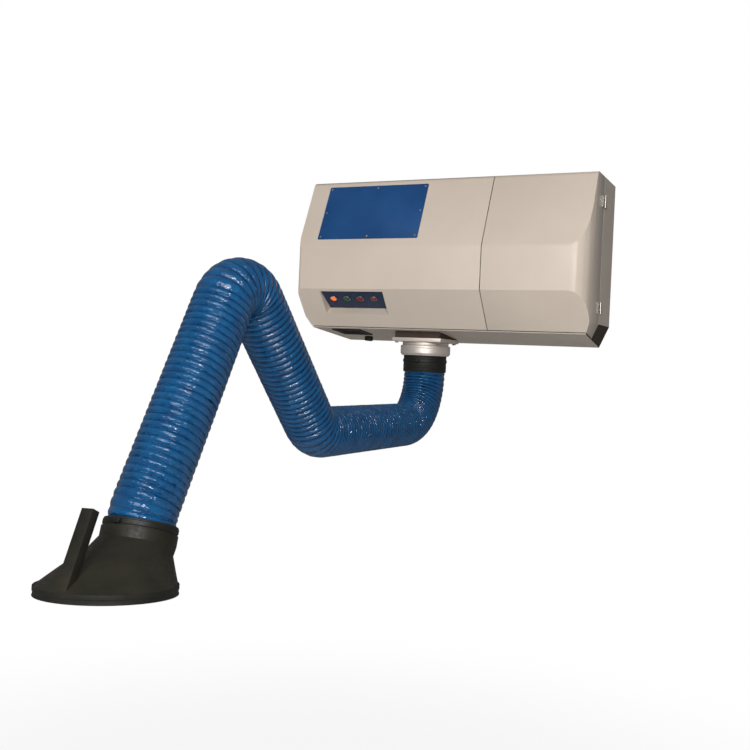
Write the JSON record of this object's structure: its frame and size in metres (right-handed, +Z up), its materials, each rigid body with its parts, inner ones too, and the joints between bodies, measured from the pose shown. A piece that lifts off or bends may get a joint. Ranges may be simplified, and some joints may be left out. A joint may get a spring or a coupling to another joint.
{
  "type": "fume extraction arm",
  "caption": "Wall-hung fume cleaner cabinet with a jointed ribbed hose arm under it, ending in an oblique cone hood with a grip; a side door opens on the filter.",
  "frame": {"origin": "on the wall plane, the middle of the hanging rail's height, straight above the arm's swivel axis", "axes": "+Y into the wall, -Y out into the room, +Z up, +X to the right seen from the room"},
  "size_m": [1.1355, 2.1648, 1.2501],
  "materials": {
    "cabinet_paint": "beige satin powder coat on sheet steel",
    "blue_paint": "blue satin paint on sheet steel",
    "steel": "plain steel bar and plate",
    "zinc": "zinc-plated steel",
    "aluminium": "machined aluminium",
    "black_plastic": "black moulded plastic",
    "rubber": "black rubber",
    "hose": "blue coated film over a wire helix",
    "lit_lens": "orange-red lamp lens, lit",
    "dark_lens": "dark red lamp lens, unlit",
    "green_plastic": "green push-button cap",
    "red_plastic": "red push-button cap",
    "filter_media": "pleated filter medium"
  },
  "bodies": {
    "cabinet": {"wall_rail": "steel", "wall_spacer": "steel", "back_box": "cabinet_paint", "front_cover": "cabinet_paint", "access_panel": "blue_paint", "control_tray": "cabinet_paint", "control_plate": "blue_paint", "run_lamp": "lit_lens", "fault_lamp": "dark_lens", "start_button_housing": "steel", "stop_button_housing": "steel", "inlet_wedge": "cabinet_paint", "swivel_plate": "aluminium", "flange_neck": "aluminium", "partition": "cabinet_paint", "filter_cartridge": "filter_media", "filter_end_plate": "zinc", "filter_tie_rod": "zinc", "inlet_elbow": "zinc", "fan_scroll": "zinc", "fan_motor": "steel", "control_box": "cabinet_paint", "outlet_grille": "black_plastic", "cable_gland": "black_plastic", "hinge_leaf_upper": "zinc", "hinge_leaf_lower": "zinc"},
    "fan_wheel": {"impeller": "zinc"},
    "start_key": {"start_button": "green_plastic"},
    "stop_key": {"stop_button": "red_plastic"},
    "door": {"filter_door": "cabinet_paint", "door_leaf_upper": "zinc", "door_leaf_lower": "zinc"},
    "swivel": {"swivel_ring": "aluminium", "rubber_sleeve": "rubber", "sleeve_clamp": "zinc", "base_strap": "steel", "shoulder_bolt": "zinc", "hose_shoulder": "hose"},
    "arm_1": {"link_1": "steel", "hose_link_1": "hose", "knee_bolt": "zinc", "hose_knee": "hose"},
    "arm_2": {"link_2": "steel", "hose_link_2": "hose", "elbow_bolt": "zinc", "hose_elbow": "hose"},
    "arm_3": {"link_3": "steel", "hose_link_3": "hose", "hose_neck": "hose"},
    "cross": {"hood_cross": "zinc"},
    "yoke": {"hood_yoke": "steel", "neck_ring": "aluminium"},
    "hood": {"hood_collar": "black_plastic", "hood_clamp": "zinc", "hood_shell": "black_plastic", "hood_rim": "rubber", "hood_handle": "black_plastic"}
  },
  "joints": [
    {"name": "arm_swivel", "type": "hinge", "parent": "cabinet", "child": "swivel", "pos_m": [0, -0.19, -0.5], "axis": [0, 0, -1], "range_deg": [-80, 80]},
    {"name": "shoulder_pivot", "type": "hinge", "parent": "swivel", "child": "arm_1", "pos_m": [0, -0.285, -0.7599], "axis": [-1, 0, 0], "range_deg": [-35, 28], "deforming": ["hose_shoulder"]},
    {"name": "knee_pivot", "type": "hinge", "parent": "arm_1", "child": "arm_2", "pos_m": [0, -1.07109, -0.77373], "axis": [-1, 0, 0], "range_deg": [-40, 25], "deforming": ["hose_knee"]},
    {"name": "elbow_pivot", "type": "hinge", "parent": "arm_2", "child": "arm_3", "pos_m": [0, -1.52592, -0.37717], "axis": [-1, 0, 0], "range_deg": [-20, 75], "deforming": ["hose_elbow"]},
    {"name": "hood_tilt", "type": "hinge", "parent": "arm_3", "child": "cross", "pos_m": [0, -1.88, -0.923], "axis": [-1, 0, 0], "range_deg": [-40, 40], "deforming": ["hose_neck"]},
    {"name": "hood_side_tilt", "type": "hinge", "parent": "cross", "child": "yoke", "pos_m": [0, -1.88, -0.923], "axis": [0, 0.9511, -0.309], "range_deg": [-25, 25], "deforming": ["hose_neck"]},
    {"name": "hood_turn", "type": "hinge", "parent": "yoke", "child": "hood", "pos_m": [0, -1.88, -0.923], "axis": [-0.0436, 0.3087, 0.9502], "range_deg": [-170, 170]},
    {"name": "filter_door_hinge", "type": "hinge", "parent": "cabinet", "child": "door", "pos_m": [0.677, -0.2, 0], "axis": [0, 0, 1], "range_deg": [0, 100]},
    {"name": "start_press", "type": "slide", "parent": "cabinet", "child": "start_key", "axis": [0, 0.5503, 0.835], "range_m": [0, 0.004], "stiffness_N_per_m": 500},
    {"name": "stop_press", "type": "slide", "parent": "cabinet", "child": "stop_key", "axis": [0, 0.5503, 0.835], "range_m": [0, 0.004], "stiffness_N_per_m": 500},
    {"name": "impeller_spin", "type": "hinge", "parent": "cabinet", "child": "fan_wheel", "pos_m": [-0.3, -0.15, -0.135], "axis": [1, 0, 0], "continuous": true}
  ]
}
